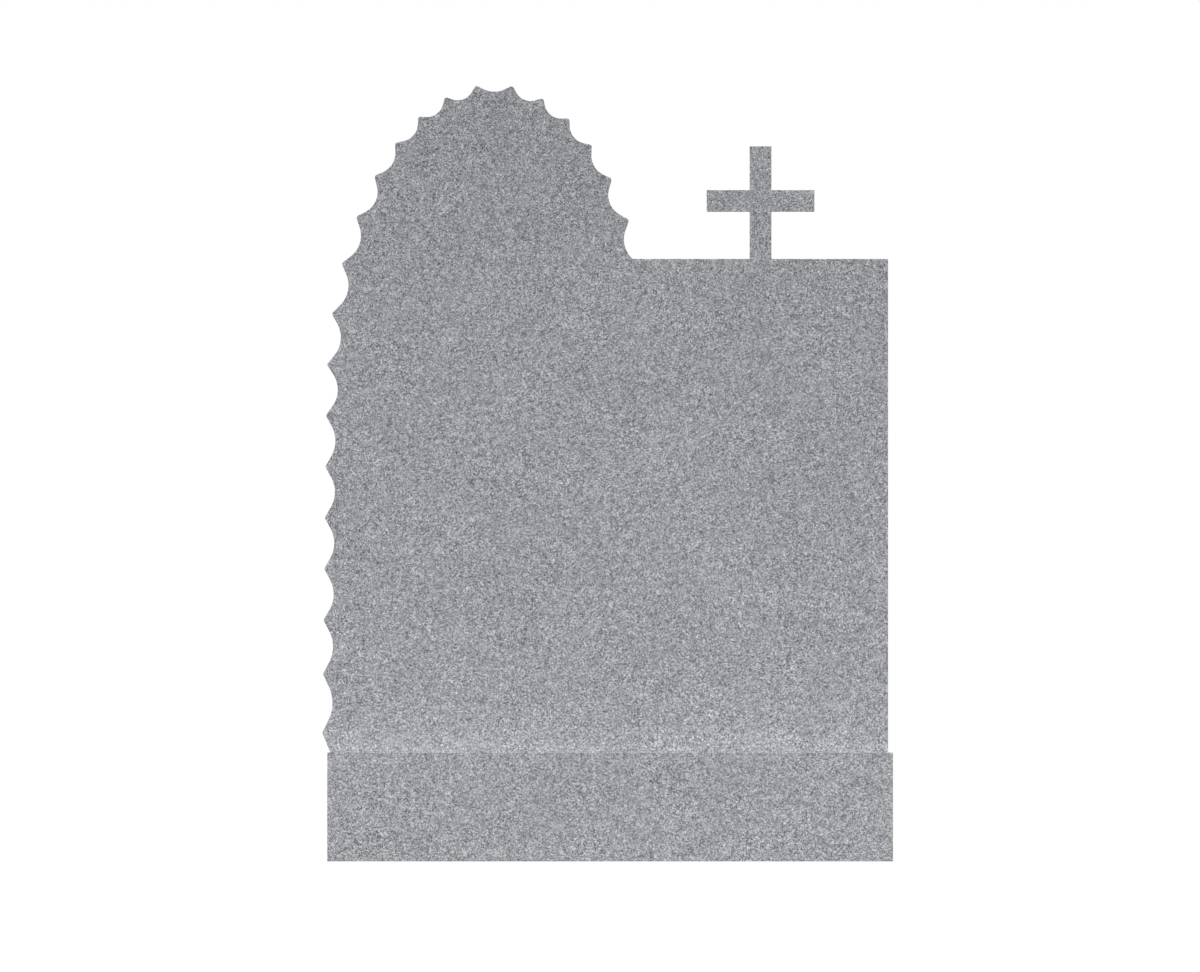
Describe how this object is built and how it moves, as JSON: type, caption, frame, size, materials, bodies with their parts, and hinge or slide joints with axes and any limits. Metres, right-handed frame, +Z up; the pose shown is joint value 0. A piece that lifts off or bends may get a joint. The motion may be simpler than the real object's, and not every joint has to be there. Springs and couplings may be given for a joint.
{
  "type": "upright headstone",
  "caption": "Grey granite headstone: a slab with a tall scalloped arch, a level shoulder and a small cross, standing on a plain base block.",
  "frame": {"origin": "centre of the base block's underside", "axes": "+Z up, +Y from the front face to the back face, +X along the block from the arched side to the side with the cross"},
  "size_m": [1.0488, 0.25, 1.4254],
  "materials": {
    "granite": "light grey fine-grained granite, sawn, with rubbed faces and eased arrises",
    "setting_compound": "matt pale grey setting compound with stone dust, struck off in a small cove",
    "dowel_steel": "drawn stainless steel bar"
  },
  "bodies": {
    "root": {"base_block": "granite", "slab": "granite", "bed": "setting_compound", "dowel_left": "dowel_steel", "dowel_right": "dowel_steel"}
  },
  "joints": []
}
